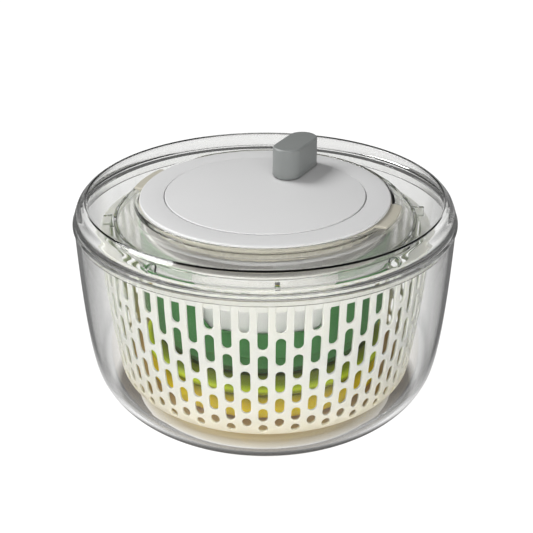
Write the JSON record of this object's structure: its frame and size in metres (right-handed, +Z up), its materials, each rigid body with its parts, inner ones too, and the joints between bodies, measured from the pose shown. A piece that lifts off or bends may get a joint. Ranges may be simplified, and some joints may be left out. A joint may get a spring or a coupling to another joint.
{
  "type": "salad spinner",
  "caption": "Clear round salad spinner: a crank dial with a grip knob in a geared lid turns a slotted basket, which holds nested prep inserts, inside a clear bowl.",
  "frame": {"origin": "on the surface that the bowl stands on, on the axis that everything spins about", "axes": "+Z up along the spin axis, -Y the front, +X to the right seen from the front"},
  "size_m": [0.27, 0.27, 0.1766],
  "materials": {
    "bowl_clear": "clear polished",
    "lid_clear": "clear polished",
    "drive_clear": "clear polished",
    "housing_smoke": "translucent smoke",
    "cover_grey": "fine satin",
    "knob_grey": "fine satin",
    "basket_white": "semi-gloss",
    "yellow_plastic": "semi-gloss",
    "lime_plastic": "semi-gloss",
    "green_plastic": "semi-gloss",
    "light_grey_plastic": "semi-gloss",
    "acetal": "moulded",
    "steel": "turned"
  },
  "bodies": {
    "bowl": {"bowl": "bowl_clear", "bowl_spindle": "steel"},
    "pivot": {"pivot_bush": "acetal"},
    "basket": {"basket": "basket_white"},
    "yellow_tray": {"yellow_tray": "yellow_plastic"},
    "lime_tray": {"lime_tray": "lime_plastic"},
    "green_bowl": {"green_bowl": "green_plastic"},
    "grey_cup": {"grey_cup": "light_grey_plastic"},
    "lid": {"lid_shell": "lid_clear", "gear_housing": "housing_smoke", "cover_ring": "cover_grey", "dial_slide_ring": "acetal", "housing_screw_1": "steel", "housing_screw_2": "steel", "housing_screw_3": "steel", "idler_pin_1": "steel", "idler_pin_2": "steel", "drive_bush": "acetal"},
    "crank": {"dial": "cover_grey", "ring_gear": "acetal", "ring_gear_screw_1": "steel", "ring_gear_screw_2": "steel", "ring_gear_screw_3": "steel", "knob_pin": "steel"},
    "knob": {"knob": "knob_grey", "knob_bush": "acetal"},
    "idler_1": {"idler_gear_1": "acetal"},
    "idler_2": {"idler_gear_2": "acetal"},
    "drive": {"sun_gear": "acetal", "drive_shaft": "steel", "shaft_clip": "steel", "drive_disc": "drive_clear", "drive_screw": "steel"}
  },
  "joints": [
    {"name": "basket_spin", "type": "hinge", "parent": "bowl", "child": "pivot", "pos_m": [0, 0, 0.0175], "axis": [0, 0, 1], "continuous": true},
    {"name": "basket_lift", "type": "slide", "parent": "pivot", "child": "basket", "axis": [0, 0, 1], "range_m": [0, 0.14]},
    {"name": "yellow_tray_lift", "type": "slide", "parent": "basket", "child": "yellow_tray", "axis": [0, 0, 1], "range_m": [0, 0.12]},
    {"name": "lime_tray_lift", "type": "slide", "parent": "yellow_tray", "child": "lime_tray", "axis": [0, 0, 1], "range_m": [0, 0.025]},
    {"name": "green_bowl_lift", "type": "slide", "parent": "lime_tray", "child": "green_bowl", "axis": [0, 0, 1], "range_m": [0, 0.025]},
    {"name": "grey_cup_lift", "type": "slide", "parent": "green_bowl", "child": "grey_cup", "axis": [0, 0, 1], "range_m": [0, 0.08]},
    {"name": "lid_lift", "type": "slide", "parent": "bowl", "child": "lid", "axis": [0, 0, 1], "range_m": [0, 0.5]},
    {"name": "crank_spin", "type": "hinge", "parent": "lid", "child": "crank", "pos_m": [0, 0, 0.1536], "axis": [0, 0, 1], "continuous": true},
    {"name": "knob_spin", "type": "hinge", "parent": "crank", "child": "knob", "pos_m": [0.022, 0.043, 0.165], "axis": [0, 0, 1], "continuous": true},
    {"name": "idler_1_spin", "type": "hinge", "parent": "lid", "child": "idler_1", "pos_m": [0.03375, 0, 0.1434], "axis": [0, 0, 1], "continuous": true},
    {"name": "idler_2_spin", "type": "hinge", "parent": "lid", "child": "idler_2", "pos_m": [-0.03375, 0, 0.1434], "axis": [0, 0, 1], "continuous": true},
    {"name": "drive_spin", "type": "hinge", "parent": "lid", "child": "drive", "pos_m": [0, 0, 0.14], "axis": [0, 0, 1], "continuous": true}
  ],
  "couplings": [
    {"joint": "crank_spin", "follows": "basket_spin", "ratio": -0.25},
    {"joint": "idler_1_spin", "follows": "basket_spin", "ratio": -0.66667},
    {"joint": "idler_2_spin", "follows": "basket_spin", "ratio": -0.66667},
    {"joint": "drive_spin", "follows": "basket_spin", "ratio": 1},
    {"joint": "basket_lift", "follows": "lid_lift", "ratio": 0.28},
    {"joint": "yellow_tray_lift", "follows": "lid_lift", "ratio": 0.24},
    {"joint": "lime_tray_lift", "follows": "lid_lift", "ratio": 0.05},
    {"joint": "green_bowl_lift", "follows": "lid_lift", "ratio": 0.05},
    {"joint": "grey_cup_lift", "follows": "lid_lift", "ratio": 0.16}
  ]
}
